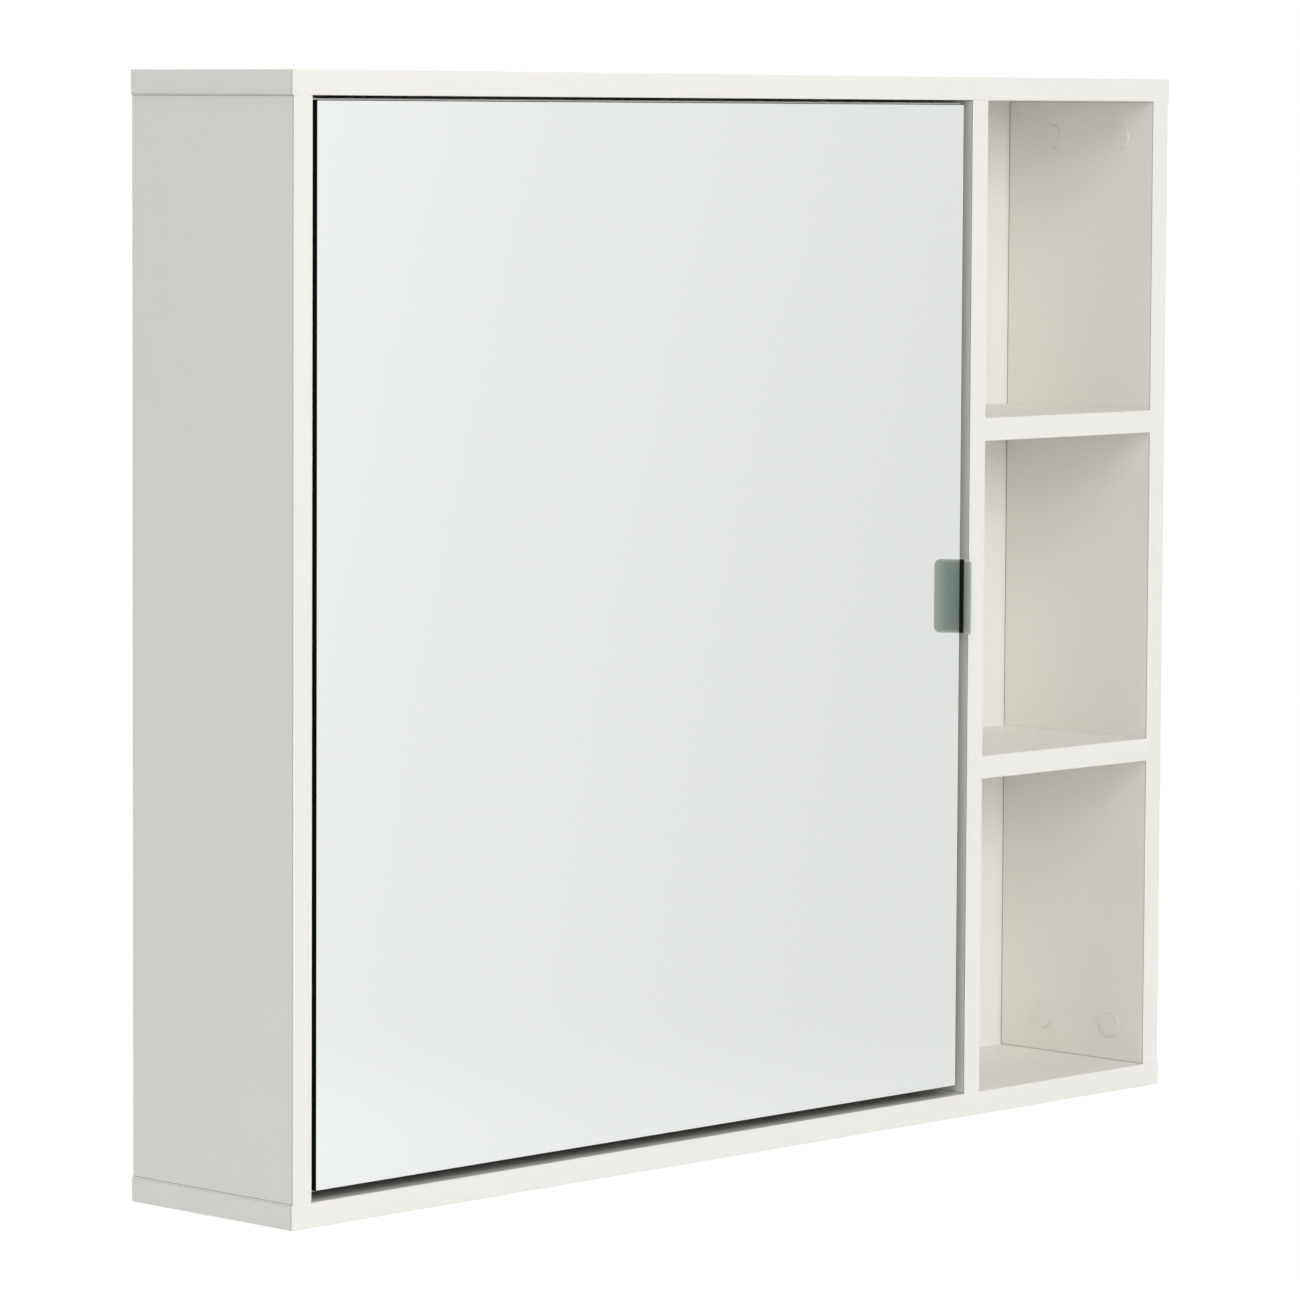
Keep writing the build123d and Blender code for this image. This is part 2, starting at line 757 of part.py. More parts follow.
def arm_width_envelope(level_z):
    """The arm's outline from the side: narrow in the cup, wider over the mounting plate."""
    neck = arm_neck_width / 2
    channel = arm_channel_width / 2
    start_y = pivot_y - eye_radius
    flare_y = pivot_y + neck_back - arm_thickness / 2
    full_y = flare_y + arm_thickness + arm_bend_radius
    points = [
        (start_y, -neck),
        (flare_y, -neck),
        (full_y, -channel),
        (arm_end_y, -channel),
        (arm_end_y, channel),
        (full_y, channel),
        (flare_y, neck),
        (start_y, neck),
    ]
    plane = Plane(origin=(left_inner_x, 0, level_z), x_dir=(0, 1, 0), z_dir=(1, 0, 0))
    face = plane * make_face(Polyline(*points, close=True))
    return extrude(face, pivot_x + neck_out + arm_thickness - left_inner_x)


def hinge_plate(level_z):
    """The mounting plate: two wings on the panel and a saddle that fills the arm's channel."""
    plane = Plane(origin=(left_inner_x, plate_y, level_z), x_dir=(0, 1, 0), z_dir=(1, 0, 0))
    wings = RectangleRounded(plate_wing_width, plate_wing_length, plate_corner_radius)
    saddle_width = arm_channel_width - 2 * arm_flange_thickness - 2 * arm_side_clearance
    saddle = RectangleRounded(plate_saddle_length, saddle_width, arm_bend_radius)
    plate = extrude(plane * wings, plate_wing_thickness)
    plate += extrude(plane * saddle, arm_web_inner_x - left_inner_x)
    plate -= [screw_hole(seat, (-1, 0, 0), plate_wing_thickness) for seat in hinge_plate_screw_seats(level_z)]
    for seat in arm_screw_seats(level_z):
        inner = (arm_web_inner_x, seat[1], seat[2])
        plate -= screw_hole(inner, (-1, 0, 0), arm_screw_length - arm_thickness)
    return plate


def arm_screw_seats(level_z):
    """The clamp screw and the side-adjusting screw on the arm's web."""
    seat_x = arm_web_x + arm_thickness / 2
    return [(seat_x, plate_y + offset, level_z) for offset in (clamp_screw_offset, side_screw_offset)]


def hanger_plate(middle_x):
    """A keyhole plate let into the rear edge: round entry below, narrow slot above."""
    plane = Plane(
        origin=(middle_x, wall_y, (hanger_top_z + hanger_bottom_z) / 2), x_dir=(1, 0, 0), z_dir=(0, -1, 0)
    )
    plate = extrude(plane * RectangleRounded(hanger_width, hanger_length, arris), hanger_thickness)
    plate -= rod((middle_x, wall_y, -keyhole_drop), (0, -1, 0), keyhole_entry_radius, hanger_thickness)
    slot = SlotCenterToCenter(keyhole_drop, 2 * keyhole_slot_radius, rotation=90)
    slot_plane = Plane(origin=(middle_x, wall_y, -keyhole_drop / 2), x_dir=(1, 0, 0), z_dir=(0, -1, 0))
    plate -= extrude(slot_plane * slot, hanger_thickness)
    for seat_z in hanger_screw_levels():
        plate -= countersunk_seat((middle_x, wall_y, seat_z), (0, -1, 0), hanger_screw_length)
    return plate


def hanger_screws():
    """Two countersunk screws in each keyhole plate, flush with the wall plane."""
    return [
        countersunk_screw((middle_x, wall_y, seat_z), (0, -1, 0), hanger_screw_length)
        for middle_x in hanger_x.values()
        for seat_z in hanger_screw_levels()
    ]


def strike_screw_seats():
    return [(strike_x, strike_rear_y, door_middle_z + side * strike_screw_half_spacing) for side in (-1, 1)]


def strike_plate():
    """The steel plate on the door's rear face that the magnet holds."""
    plane = Plane(origin=(strike_x, board_rear_y, door_middle_z), x_dir=(1, 0, 0), z_dir=(0, 1, 0))
    outline = RectangleRounded(strike_width, strike_height, strike_corner_radius)
    plate = extrude(plane * outline, strike_thickness)
    return plate - [countersunk_seat(seat, (0, -1, 0), strike_screw_length) for seat in strike_screw_seats()]


def catch_housing():
    """The catch: a base with two screw ears and a block with a pocket for the magnet."""
    half_height = magnet_height / 2 + catch_wall
    body = block(
        (divider_left_x - catch_reach, divider_left_x),
        (catch_front_y, catch_front_y + catch_depth),
        (door_middle_z - half_height, door_middle_z + half_height),
    )
    body = fillet(body.edges().filter_by(Axis.Z).group_by(Axis.X)[0], catch_corner_radius)
    base_middle = (divider_left_x, catch_middle_y, door_middle_z)
    outline = RectangleRounded(catch_depth, catch_base_height, catch_corner_radius)
    base = extrude(Plane(origin=base_middle, x_dir=(0, 1, 0), z_dir=(-1, 0, 0)) * outline, catch_base_thickness)
    housing = body + base - magnet_block(magnet_clearance)
    return housing - [screw_hole(seat, (1, 0, 0), catch_base_thickness) for seat in catch_screw_seats()]


def magnet_block(grow):
    """The magnet between its pole plates, or its pocket when grown by a clearance."""
    return block(
        (strike_x - magnet_width / 2 - grow, strike_x + magnet_width / 2 + grow),
        (catch_front_y, catch_front_y + magnet_depth + grow),
        (door_middle_z - magnet_height / 2 - grow, door_middle_z + magnet_height / 2 + grow),
    )


def write(name, *solids):
    """Write one node, made of one solid or of several separate ones."""
    pieces = [piece for shape in solids for piece in (shape if isinstance(shape, list) else [shape])]
    shape = pieces[0] if len(pieces) == 1 else Compound(children=pieces)
    export_step(shape, f"parts/{name}.step")


os.makedirs("parts", exist_ok=True)

# Carcass boards
write("top_panel", level_panel(ceiling_z, 1))
write("bottom_panel", level_panel(floor_z, -1))
write("left_side_panel", left_side_panel())
write("right_side_panel", right_side_panel())
write("divider_panel", divider_panel())
write("back_panel", back_panel())
for place, bottom_z in open_shelf_bottoms.items():
    write(f"open_shelf_{place}", open_shelf(bottom_z))
for place, bottom_z in cabinet_shelf_bottoms.items():
    write(f"cabinet_shelf_{place}", cabinet_shelf(bottom_z))

# Carcass fittings
write("shelf_pins", shelf_pins())
write("carcass_dowels", carcass_dowels())
write("shelf_dowels", shelf_dowels())
write("cam_locks", [cam_lock(*place) for place in each_cam()])
write("cam_bolts", [cam_bolt(*place) for place in each_cam()])
write("cam_covers", [cam_cover(*place) for place in each_cam()])
for place, middle_x in hanger_x.items():
    write(f"hanger_plate_{place}", hanger_plate(middle_x))
write("hanger_screws", hanger_screws())

# Door
write("door_board", door_board())
write("mirror_adhesive", mirror_adhesive())
write("mirror_glass", mirror_glass())
write("tab_pull", tab_pull())
write("tab_tape", tab_tape())
write("strike_plate", strike_plate())
seats = strike_screw_seats()
write("strike_screws", [countersunk_screw(seat, (0, -1, 0), strike_screw_length) for seat in seats])

# Catch
write("catch_housing", catch_housing())
write("catch_magnet", magnet_block(0))
write("catch_screws", [pan_screw(seat, (1, 0, 0), catch_screw_length) for seat in catch_screw_seats()])

# Hinges
for place, level_z in hinge_levels.items():
    write(f"hinge_cup_{place}", hinge_cup(level_z))
    write(f"hinge_pin_{place}", hinge_pin(level_z))
    write(f"hinge_arm_{place}", hinge_arm(level_z))
    write(f"hinge_plate_{place}", hinge_plate(level_z))
levels = hinge_levels.values()
write(
    "hinge_cup_screws",
    [pan_screw(seat, (0, -1, 0), cup_screw_length) for level_z in levels for seat in cup_screw_seats(level_z)],
)
write(
    "hinge_plate_screws",
    [pan_screw(seat, (-1, 0, 0), plate_screw_length) for z in levels for seat in hinge_plate_screw_seats(z)],
)
write(
    "hinge_arm_screws",
    [pan_screw(seat, (-1, 0, 0), arm_screw_length) for z in levels for seat in arm_screw_seats(z)],
)
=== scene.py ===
import json
import math

import bpy
from mathutils import Euler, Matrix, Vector


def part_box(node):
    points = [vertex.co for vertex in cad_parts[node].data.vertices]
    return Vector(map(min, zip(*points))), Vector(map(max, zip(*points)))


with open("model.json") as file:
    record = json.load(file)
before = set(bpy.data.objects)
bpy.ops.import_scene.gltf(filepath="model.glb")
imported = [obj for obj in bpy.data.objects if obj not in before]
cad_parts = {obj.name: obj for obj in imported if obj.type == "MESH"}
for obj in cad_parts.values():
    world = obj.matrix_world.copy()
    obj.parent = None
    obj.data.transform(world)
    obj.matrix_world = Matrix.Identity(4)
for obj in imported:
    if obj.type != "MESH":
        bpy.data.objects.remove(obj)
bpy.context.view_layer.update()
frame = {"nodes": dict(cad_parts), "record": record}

# Places in metres, read from the frame
mm = 0.001
front_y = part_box("top_panel")[0][1]
cabinet_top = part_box("top_panel")[1][2]
cabinet_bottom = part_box("bottom_panel")[0][2]
bay_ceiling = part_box("top_panel")[0][2]
bay_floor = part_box("bottom_panel")[1][2]
side_inner_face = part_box("right_side_panel")[0][0]
back_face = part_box("back_panel")[0][1]
pull_low, pull_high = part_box("tab_pull")

# Fine lines on the boards: the edge band seam, and painted shadow lines at the joints
band_thickness = 0.8 * mm
band_seam_reach = 0.4 * mm
band_seam_strength = 0.65
joint_shadow_reach = 0.6 * mm
joint_shadow_strength = 0.8
inside_margin = 5 * mm

# Zones on the finger pull, measured from its ends and from its tip: a painted highlight at the ends and
# tip, a painted shadow in the slot by the glass
pull_end_zone = 3.0 * mm
pull_tip_zone = 7.0 * mm
pull_slot_start = 14.2 * mm
pull_slot_full = 15.4 * mm

# Camera, at the photograph's viewing angle
camera_place = (-2.85172, -2.79254, 0.04365)
camera_tilt = (85.6528, -0.3004, -46.0512)
camera_lens = 171.944
camera_shift = -0.05
camera_near = 0.05
camera_far = 200.0

# Studio: lamps by distance, degrees left of the front, degrees up, size and level
hang_height = 1.1
floor_size = 9.0
floor_lift = 0.75
floor_in_mirror = 0.97
ambient_level = 0.30
lamps = {
    "key": (7.0, 8.0, 16.0, 3.5, 0.40),
    "front_fill": (6.0, 32.0, -22.0, 3.0, 0.11),
    "left_fill": (2.6, 98.0, -32.0, 2.0, 0.108),
    "right_fill": (3.6, -84.0, 12.0, 2.4, 0.22),
    "rear_fill": (4.0, 180.0, 20.0, 3.0, 0.40),
    "bay_fill": (4.6, 43.0, 34.0, 1.8, 0.208),
    "top_fill": (3.4, 150.0, 80.0, 2.0, 0.30),
}

# Room in the mirror: where its wall fades, by how much, and where it is pale again low down
wall_lean = -0.19
wall_fade = (0.655, 0.775, 1.0, 0.85)
low_sweep = (-0.165, -0.143, 0.05, 0.0)

# Colours, linear
plain_white = (1.0, 1.0, 1.0, 1.0)
floor_grey = (0.85, 0.85, 0.85, 1.0)
melamine_white = (0.884, 0.869, 0.826)
back_white = (0.877, 0.863, 0.824)
band_line = (0.42, 0.415, 0.40)
# Painted shade on the door board's edges
door_edge_shade = (0.05, 0.05, 0.048)
# Painted shadow colour for the lines at the board joints
joint_shadow_colour = (0.16, 0.157, 0.148)
cap_white = (0.865, 0.853, 0.81)
# Painted shade colour for the caps' bevelled rims
cap_rim_shade = (0.67, 0.66, 0.625)
chip_dark, chip_light = (0.27, 0.17, 0.09), (0.58, 0.43, 0.27)
fibre_dark, fibre_light = (0.16, 0.093, 0.047), (0.38, 0.25, 0.143)
silver = (0.873, 0.900, 0.873)
mirror_paint = (0.20, 0.21, 0.22)
glass_edge_dark, glass_edge_light = (0.003, 0.005, 0.004), (0.006, 0.010, 0.008)
pull_grey = (0.35, 0.42, 0.40)
# Painted highlight colour for the pull's ends and tip
pull_rim_highlight = (0.64, 0.65, 0.63)
# Painted shadow colour for the pull down in the slot
pull_slot_shadow = (0.02, 0.022, 0.022)
pull_sheen = (1.0, 0.985, 0.93, 1.0)
nickel = (0.66, 0.65, 0.62)
steel = (0.58, 0.58, 0.57)
zinc = (0.48, 0.48, 0.49)
ferrite = (0.035, 0.035, 0.038)
beech_dark, beech_light = (0.44, 0.27, 0.14), (0.68, 0.47, 0.28)
foam_dark, foam_light = (0.55, 0.55, 0.53), (0.72, 0.72, 0.70)


def build_camera():
    """The camera that looks at the cabinet from the front left, a little from above."""
    data = bpy.data.cameras.new("camera")
    data.lens = camera_lens
    data.shift_y = camera_shift
    data.clip_start = camera_near
    data.clip_end = camera_far
    camera = bpy.data.objects.new("camera", data)
    camera.location = camera_place
    camera.rotation_euler = Euler([math.radians(angle) for angle in camera_tilt])
    bpy.context.scene.collection.objects.link(camera)
    bpy.context.scene.camera = camera


range_inputs = ("Value", "From Min", "From Max", "To Min", "To Max")


class Shader:
    """A material with a Principled shader and short ways to add nodes to it."""

    def __init__(self, name, roughness, metallic=0.0):
        self.material = bpy.data.materials.new(name)
        self.material.use_nodes = True
        self.tree = self.material.node_tree
        self.surface = self.tree.nodes["Principled BSDF"]
        self.surface.inputs["Roughness"].default_value = roughness
        self.surface.inputs["Metallic"].default_value = metallic
        self.place = self.add("ShaderNodeTexCoord").outputs["Object"]
        self.normal = self.tree.nodes["Texture Coordinate"].outputs["Normal"]

    def add(self, kind, **settings):
        node = self.tree.nodes.new(kind)
        for name, value in settings.items():
            setattr(node, name, value)
        return node

    def feed(self, socket, value):
        """Link a socket to an output, or set it to a plain value."""
        if isinstance(value, bpy.types.NodeSocket):
            self.tree.links.new(value, socket)
        elif isinstance(value, tuple) and len(value) == 3 and socket.type == "RGBA":
            socket.default_value = (*value, 1.0)
        else:
            socket.default_value = value

    def math(self, operation, first, second=0.0, third=0.0):
        node = self.add("ShaderNodeMath", operation=operation)
        for socket, value in zip(node.inputs, (first, second, third)):
            self.feed(socket, value)
        return node.outputs["Value"]

    def axis(self, vector, name):
        node = self.add("ShaderNodeSeparateXYZ")
        self.feed(node.inputs["Vector"], vector)
        return node.outputs[name]

    def stretched(self, scale):
        """Object coordinates, stretched by a scale on each axis."""
        node = self.add("ShaderNodeMapping")
        self.feed(node.inputs["Vector"], self.place)
        node.inputs["Scale"].default_value = scale
        return node.outputs["Vector"]

    def times(self, first, second):
        return self.math("MULTIPLY", first, second)

    def above(self, value, limit):
        """One where a value is over a limit, else zero."""
        return self.math("GREATER_THAN", value, limit)

    def below(self, value, limit):
        """One where a value is under a limit, else zero."""
        return self.math("LESS_THAN", value, limit)

    def off(self, value, place=0.0):
        """How far a value is from a place, either way."""
        return self.math("ABSOLUTE", self.math("SUBTRACT", value, place))

    def near(self, value, place, reach):
        """One where a value is within reach of a place, else zero."""
        return self.below(self.off(value, place), reach)

    def noise(self, scale, detail=3.0, roughness=0.5, vector=None):
        node = self.add("ShaderNodeTexNoise")
        self.feed(node.inputs["Vector"], vector or self.place)
        node.inputs["Scale"].default_value = scale
        node.inputs["Detail"].default_value = detail
        node.inputs["Roughness"].default_value = roughness
        return node.outputs["Fac"]

    def spread(self, value, low, high, new_low=0.0, new_high=1.0, smooth=False):
        node = self.add("ShaderNodeMapRange", interpolation_type="SMOOTHSTEP" if smooth else "LINEAR")
        for name, number in zip(range_inputs, (value, low, high, new_low, new_high)):
            self.feed(node.inputs[name], number)
        return node.outputs["Result"]

    def mix(self, factor, first, second):
        node = self.add("ShaderNodeMix", data_type="RGBA")
        self.feed(node.inputs["Factor"], factor)
        first_colour, second_colour = (socket for socket in node.inputs if socket.type == "RGBA")
        self.feed(first_colour, first)
        self.feed(second_colour, second)
        return next(socket for socket in node.outputs if socket.type == "RGBA")

    def colour(self, value):
        self.feed(self.surface.inputs["Base Color"], value)

    def roughness(self, value):
        self.feed(self.surface.inputs["Roughness"], value)

    def metallic(self, value):
        self.feed(self.surface.inputs["Metallic"], value)

    def plain(self, **values):
        """Plain values of the Principled shader, by input names with underscores."""
        for name, value in values.items():
            self.surface.inputs[name.replace("_", " ")].default_value = value

    def bump(self, height, strength, distance):
        node = self.add("ShaderNodeBump")
        node.inputs["Strength"].default_value = strength
        node.inputs["Distance"].default_value = distance
        self.feed(node.inputs["Height"], height)
        self.feed(self.surface.inputs["Normal"], node.outputs["Normal"])

    def shade_of(self, colour, amount, value):
        """A colour that varies between darker and lighter by an amount."""
        darker = tuple(channel * (1 - amount) for channel in colour)
        lighter = tuple(min(1.0, channel * (1 + amount)) for channel in colour)
        return self.mix(value, darker, lighter)


def chipboard(shader):
    """Pressed wood chips, as on an edge that has no band."""
    cells = shader.add("ShaderNodeTexVoronoi", feature="F1")
    shader.feed(cells.inputs["Vector"], shader.stretched((1.0, 1.0, 0.45)))
    cells.inputs["Scale"].default_value = 700.0
    flakes = shader.axis(cells.outputs["Color"], "X")
    fine = shader.noise(2400.0, 4.0)
    grain = shader.math("MULTIPLY_ADD", flakes, 0.65, shader.times(fine, 0.35))
    return shader.mix(grain, chip_dark, chip_light)


def melamine(name, raw_rear):
    """White melamine with a thin line at the edge band and painted shadow lines at the joints.

    A carcass board has a raw chipboard rear edge, and the door board's edges are painted near black as
    painted shade, so the slots round the door look shadowed.
    """
    shader = Shader(name, 0.4)
    normal_x = shader.off(shader.axis(shader.normal, "X"))
    normal_y = shader.axis(shader.normal, "Y")
    across, deep, high = (shader.axis(shader.place, letter) for letter in "XYZ")

    white = shader.shade_of(melamine_white, 0.012, shader.noise(9.0, 2.0))
    seam = shader.near(deep, front_y + band_thickness, band_seam_reach)
    face = shader.mix(shader.times(seam, band_seam_strength), white, band_line)

    # Painted shadow: thin dark lines where the upright boards meet the top, the bottom and the back, in
    # place of the shade in the joints
    middle_height = (bay_ceiling + bay_floor) / 2
    ends = shader.near(shader.off(high, middle_height), bay_ceiling - middle_height, joint_shadow_reach)
    inside = shader.below(shader.off(across), side_inner_face + inside_margin)
    behind = shader.times(shader.near(deep, back_face, joint_shadow_reach), inside)
    upright = shader.above(normal_x, 0.9)
    joint_shadow = shader.times(shader.math("MAXIMUM", ends, behind), upright)
    face = shader.mix(shader.times(joint_shadow, joint_shadow_strength), face, joint_shadow_colour)

    rough = shader.spread(shader.noise(1100.0, 2.0), 0.35, 0.65, 0.34, 0.44)
    if raw_rear:
        rear = shader.above(normal_y, 0.9)
        face = shader.mix(rear, face, chipboard(shader))
        rough = shader.math("MAXIMUM", rough, shader.times(rear, 0.85))
    else:
        # Painted shade: near black on the door board's edges, standing in for the shadow in the slots
        # round the door
        face = shader.mix(shader.below(shader.off(normal_y), 0.5), face, door_edge_shade)
    shader.colour(face)
    shader.roughness(rough)
    shader.bump(shader.noise(750.0, 3.0), 0.05, 0.2 * mm)
    return shader.material


def hardboard():
    """The thin back: white lacquer in front, brown pressed fibre behind."""
    shader = Shader("back_board", 0.5)
    fibre = shader.noise(900.0, 6.0, 0.7, shader.stretched((1.0, 1.0, 0.4)))
    mottle = shader.noise(170.0, 5.0, 0.7)
    strands = shader.math("MULTIPLY_ADD", mottle, 0.35, shader.times(fibre, 0.65))
    brown = shader.mix(shader.spread(strands, 0.3, 0.7), fibre_dark, fibre_light)
    white = shader.shade_of(back_white, 0.012, shader.noise(11.0, 2.0))
    rear = shader.above(shader.axis(shader.normal, "Y"), 0.5)
    shader.colour(shader.mix(rear, white, brown))
    shader.roughness(shader.spread(rear, 0.0, 1.0, 0.42, 0.8))
    shader.bump(fibre, 0.12, 0.15 * mm)
    return shader.material


def mirror():
    """Silvered glass in front, dark ground edges, grey backing paint behind."""
    shader = Shader("mirror", 0.02, 1.0)
    facing = shader.axis(shader.normal, "Y")
    front = shader.below(facing, -0.95)
    edge = shader.mix(shader.noise(1500.0, 2.0), glass_edge_dark, glass_edge_light)
    body = shader.mix(shader.above(facing, 0.95), edge, mirror_paint)
    shader.colour(shader.mix(front, body, silver))
    shader.metallic(front)
    shader.feed(shader.surface.inputs["Specular IOR Level"], shader.spread(front, 0.0, 1.0, 0.06, 0.5))
    shader.roughness(shader.spread(front, 0.0, 1.0, 0.38, 0.015))
    return shader.material


def metal(name, colour, roughness, grain):
    """Plated or zinc-cast metal with fine surface marks and handling haze."""
    shader = Shader(name, roughness, 1.0)
    marks = shader.noise(grain, 4.0, 0.6)
    haze = shader.noise(60.0, 3.0)
    shader.colour(shader.shade_of(colour, 0.06, haze))
    shader.roughness(shader.spread(marks, 0.3, 0.7, roughness * 0.75, roughness * 1.3))
    shader.bump(marks, 0.08, 0.05 * mm)
    return shader.material


def lacquered_pull():
    """Grey lacquer on the finger pull, with a painted highlight at its rim and a painted shadow down in
    the slot by the glass.
    """
    shader = Shader("tab_metal", 0.4, 0.1)
    shader.plain(Sheen_Weight=1.0, Sheen_Roughness=0.30, Sheen_Tint=pull_sheen)
    deep = shader.axis(shader.place, "Y")
    middle_height = (pull_low[2] + pull_high[2]) / 2
    half = (pull_high[2] - pull_low[2]) / 2
    from_middle = shader.off(shader.axis(shader.place, "Z"), middle_height)
    # Painted highlight: lighter towards the pull's ends and tip
    ends = shader.spread(from_middle, half - pull_end_zone, half, smooth=True)
    tip = shader.spread(deep, pull_low[1] + pull_tip_zone, pull_low[1])
    # Painted shadow: the pull's faces turn near black down in the slot by the glass
    slot_shadow = shader.spread(deep, pull_low[1] + pull_slot_start, pull_low[1] + pull_slot_full, smooth=True)
    slot_shadow = shader.times(slot_shadow, shader.below(shader.axis(shader.normal, "X"), 0.2))
    grey = shader.shade_of(pull_grey, 0.05, shader.noise(60.0, 3.0))
    grey = shader.mix(shader.math("MAXIMUM", ends, tip), grey, pull_rim_highlight)
    shader.colour(shader.mix(slot_shadow, grey, pull_slot_shadow))
    shader.roughness(shader.spread(shader.noise(900.0, 4.0), 0.3, 0.7, 0.34, 0.46))
    shader.bump(shader.noise(1400.0, 3.0), 0.06, 0.05 * mm)
    return shader.material


def plastic(name, colour, roughness):
    """Moulded plastic with a fine spark-eroded grain."""
    shader = Shader(name, roughness)
    grain = shader.noise(2200.0, 3.0)
    shader.colour(shader.shade_of(colour, 0.02, shader.noise(45.0, 2.0)))
    shader.roughness(shader.spread(grain, 0.3, 0.7, roughness * 0.85, roughness * 1.15))
    shader.bump(grain, 0.10, 0.05 * mm)
    return shader.material


def cap_plastic():
    """The thin caps over the cam locks: plain on the face, with painted shade on the bevelled rim."""
    shader = Shader("cap_plastic", 0.40)
    # Painted shade: the bevelled rim, picked by which way it faces, is darker than the face
    shaded_rim = shader.above(shader.off(shader.axis(shader.normal, "Y")), 0.15)
    white = shader.shade_of(cap_white, 0.012, shader.noise(45.0, 2.0))
    shader.colour(shader.mix(shaded_rim, white, cap_rim_shade))
    shader.bump(shader.noise(2200.0, 3.0), 0.06, 0.05 * mm)
    return shader.material


def beech():
    """Raw beech with short flecks along the dowel."""
    shader = Shader("beech", 0.65)
    grain = shader.noise(420.0, 5.0, 0.6, shader.stretched((1.0, 1.0, 0.12)))
    shader.colour(shader.mix(grain, beech_dark, beech_light))
    shader.bump(grain, 0.15, 0.1 * mm)
    return shader.material


def foam_tape():
    """Closed-cell foam tape, seen edge on."""
    shader = Shader("mirror_tape", 0.8)
    cells = shader.noise(3000.0, 2.0)
    shader.colour(shader.mix(cells, foam_dark, foam_light))
    shader.bump(cells, 0.3, 0.1 * mm)
    return shader.material


def dress_nodes():
    """Give every CAD node its finished material by the record's slots."""
    finishes = {
        "white_board": melamine("white_board", True),
        "back_board": hardboard(),
        "mirror": mirror(),
        "mirror_tape": foam_tape(),
        "tab_metal": lacquered_pull(),
        "nickel": metal("nickel", nickel, 0.24, 1500.0),
        "screw_steel": metal("screw_steel", steel, 0.3, 2200.0),
        "cam_zinc": metal("cam_zinc", zinc, 0.45, 1800.0),
        "white_plastic": plastic("white_plastic", cap_white, 0.40),
        "beech": beech(),
        "magnet": plastic("magnet", ferrite, 0.55),
    }
    own_finishes = {"door_board": melamine("door_white_board", False), "cam_covers": cap_plastic()}
    slots = {part["node"]: part["material_slot"] for part in frame["record"]["subparts"]}
    for node, thing in frame["nodes"].items():
        finish = own_finishes.get(node) or finishes[slots[node]]
        for place in thing.material_slots:
            place.material = finish
        if not thing.material_slots:
            thing.data.materials.append(finish)


def studio_node(tree, kind, **settings):
    node = tree.nodes.new(kind)
    for name, value in settings.items():
        setattr(node, name, value)
    return node


def glow(tree, kind, strength):
    """A plain white background or emission of one strength."""
    node = studio_node(tree, kind)
    node.inputs["Color"].default_value = plain_white
    if isinstance(strength, bpy.types.NodeSocket):
        tree.links.new(strength, node.inputs["Strength"])
    else:
        node.inputs["Strength"].default_value = strength
    return node.outputs[0]


def choose(tree, factor, first, second):
    """The first shader where the factor is zero, the second where it is one."""
    node = studio_node(tree, "ShaderNodeMixShader")
    for socket, source in zip(node.inputs, (factor, first, second)):
        tree.links.new(source, socket)
    return node.outputs["Shader"]


def in_mirror(tree, path):
    """One for rays that come from a reflection or through glass."""
    node = studio_node(tree, "ShaderNodeMath", operation="MAXIMUM")
    tree.links.new(path.outputs["Is Glossy Ray"], node.inputs[0])
    tree.links.new(path.outputs["Is Transmission Ray"], node.inputs[1])
    return node.outputs["Value"]


def ramp(tree, value, limits):
    """A value taken smoothly from one range to another."""
    node = studio_node(tree, "ShaderNodeMapRange", interpolation_type="SMOOTHSTEP")
    tree.links.new(value, node.inputs["Value"])
    for name, number in zip(range_inputs[1:], limits):
        node.inputs[name].default_value = number
    return node.outputs["Result"]


def build_world():
    """White behind the object, a soft pale room in reflections, and a plain level of light."""
    world = bpy.data.worlds.new("studio")
    bpy.context.scene.world = world
    world.use_nodes = True
    tree = world.node_tree
    tree.nodes.clear()
    path = studio_node(tree, "ShaderNodeLightPath")
    direction = studio_node(tree, "ShaderNodeTexCoord").outputs["Generated"]
    split = studio_node(tree, "ShaderNodeSeparateXYZ")
    tree.links.new(direction, split.inputs["Vector"])

    # The room is a little darker to the right of the cabinet's front, and pale again low down
    lean = studio_node(tree, "ShaderNodeMath", operation="MULTIPLY_ADD")
    tree.links.new(split.outputs["Z"], lean.inputs[0])
    lean.inputs[1].default_value = wall_lean
    tree.links.new(split.outputs["X"], lean.inputs[2])
    level = studio_node(tree, "ShaderNodeMath", operation="ADD", use_clamp=True)
    tree.links.new(ramp(tree, lean.outputs["Value"], wall_fade), level.inputs[0])
    tree.links.new(ramp(tree, split.outputs["Z"], low_sweep), level.inputs[1])

    ambient = glow(tree, "ShaderNodeBackground", ambient_level)
    room = glow(tree, "ShaderNodeBackground", level.outputs["Value"])
    backdrop = glow(tree, "ShaderNodeBackground", 1.0)
    unseen = choose(tree, in_mirror(tree, path), ambient, room)
    shown = choose(tree, path.outputs["Is Camera Ray"], unseen, backdrop)
    output = studio_node(tree, "ShaderNodeOutputWorld")
    tree.links.new(shown, output.inputs["Surface"])


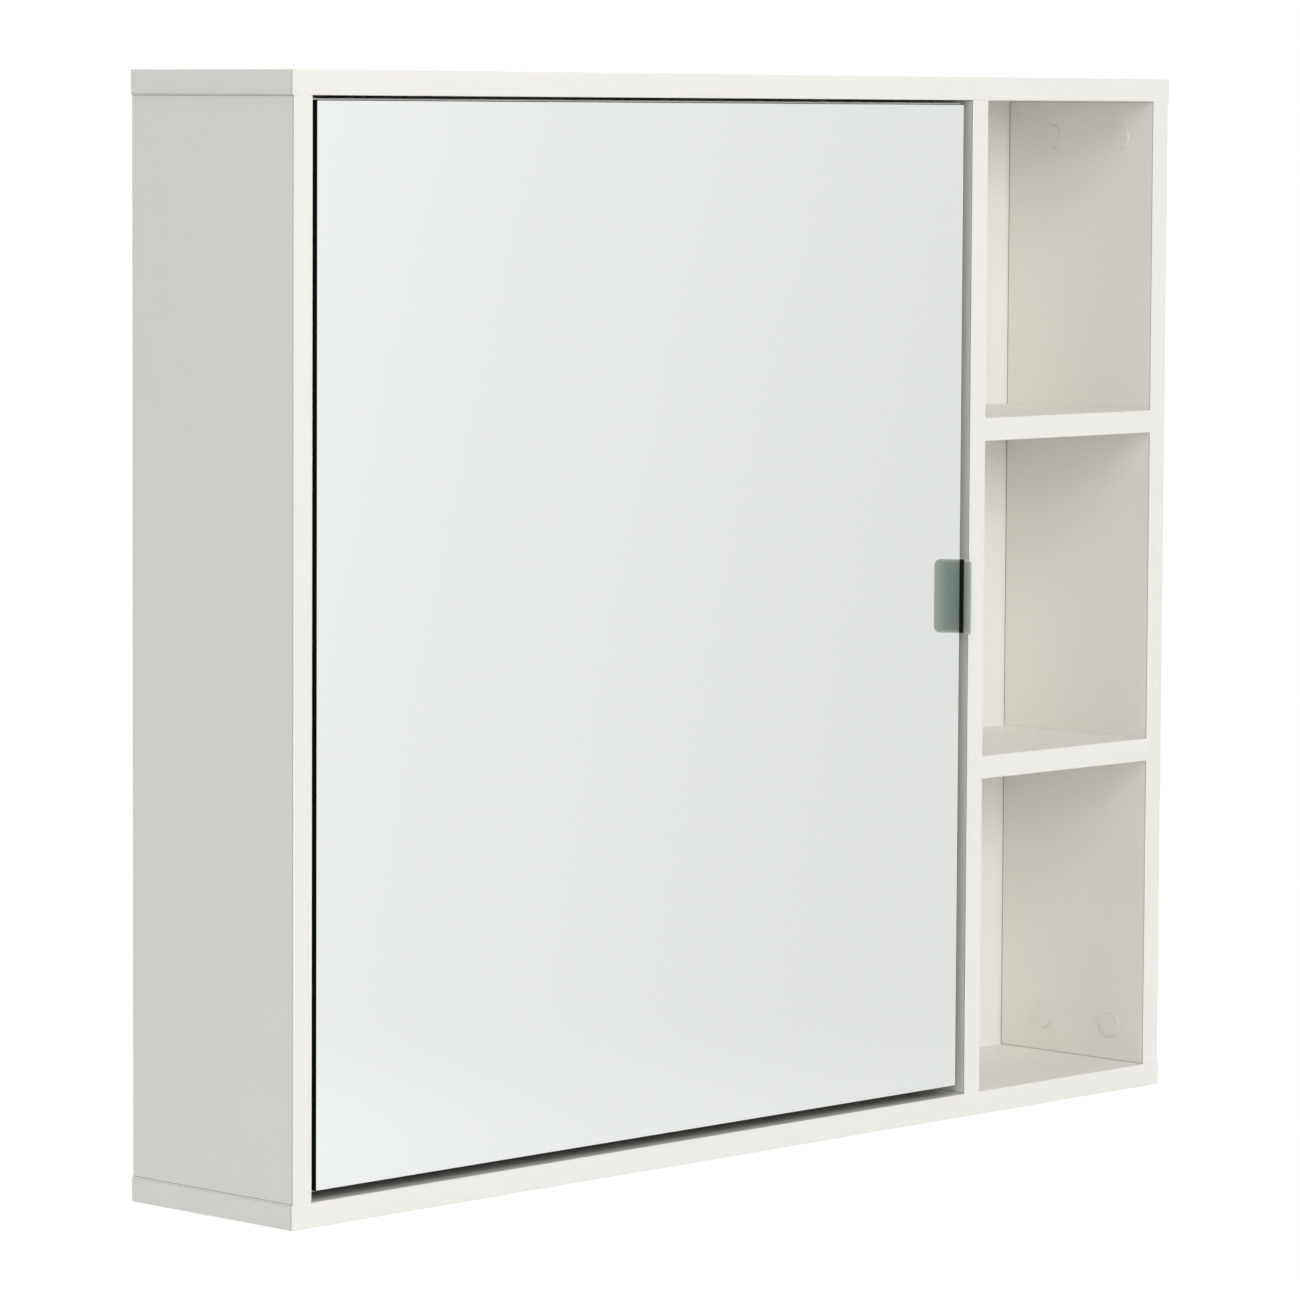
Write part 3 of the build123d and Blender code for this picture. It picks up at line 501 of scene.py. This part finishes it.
def soft_lamp(name, target, distance, left, up, size, level):
    """A large soft lamp that gives a facing surface this level of light, where 1 is full."""
    left, up = math.radians(left), math.radians(up)
    way = Vector((-math.sin(left) * math.cos(up), -math.cos(left) * math.cos(up), math.sin(up)))
    data = bpy.data.lights.new(name, "AREA")
    data.shape = "SQUARE"
    data.size = size
    data.energy = level * math.pi**2 * distance**2
    lamp = bpy.data.objects.new(name, data)
    lamp.location = target + way * distance
    lamp.rotation_euler = (-way).to_track_quat("-Z", "Y").to_euler()
    lamp.visible_glossy = False
    lamp.visible_camera = False
    bpy.context.scene.collection.objects.link(lamp)


def build_floor():
    """A pale floor well below the hanging cabinet."""
    half = floor_size / 2
    corners = [(-half, -half, 0), (half, -half, 0), (half, half, 0), (-half, half, 0)]
    mesh = bpy.data.meshes.new("floor")
    mesh.from_pydata(corners, [], [(0, 1, 2, 3)])
    floor = bpy.data.objects.new("floor", mesh)
    floor.location = (0, 0, cabinet_bottom - hang_height)
    bpy.context.scene.collection.objects.link(floor)

    material = bpy.data.materials.new("floor")
    material.use_nodes = True
    tree = material.node_tree
    tree.nodes.clear()
    path = studio_node(tree, "ShaderNodeLightPath")
    matt = studio_node(tree, "ShaderNodeBsdfDiffuse")
    matt.inputs["Color"].default_value = floor_grey
    strength = studio_node(tree, "ShaderNodeMath", operation="MULTIPLY")
    tree.links.new(path.outputs["Is Camera Ray"], strength.inputs[0])
    strength.inputs[1].default_value = floor_lift
    lift = glow(tree, "ShaderNodeEmission", strength.outputs["Value"])
    lit = studio_node(tree, "ShaderNodeAddShader")
    tree.links.new(matt.outputs["BSDF"], lit.inputs[0])
    tree.links.new(lift, lit.inputs[1])
    pale = glow(tree, "ShaderNodeEmission", floor_in_mirror)
    shown = choose(tree, in_mirror(tree, path), lit.outputs["Shader"], pale)
    output = studio_node(tree, "ShaderNodeOutputMaterial")
    tree.links.new(shown, output.inputs["Surface"])
    mesh.materials.append(material)


build_camera()
build_world()
front_centre = Vector((0.0, front_y, (cabinet_top + cabinet_bottom) / 2))
for lamp_name, setting in lamps.items():
    soft_lamp(lamp_name, front_centre, *setting)
build_floor()
dress_nodes()
bpy.context.scene.view_settings.view_transform = "Standard"
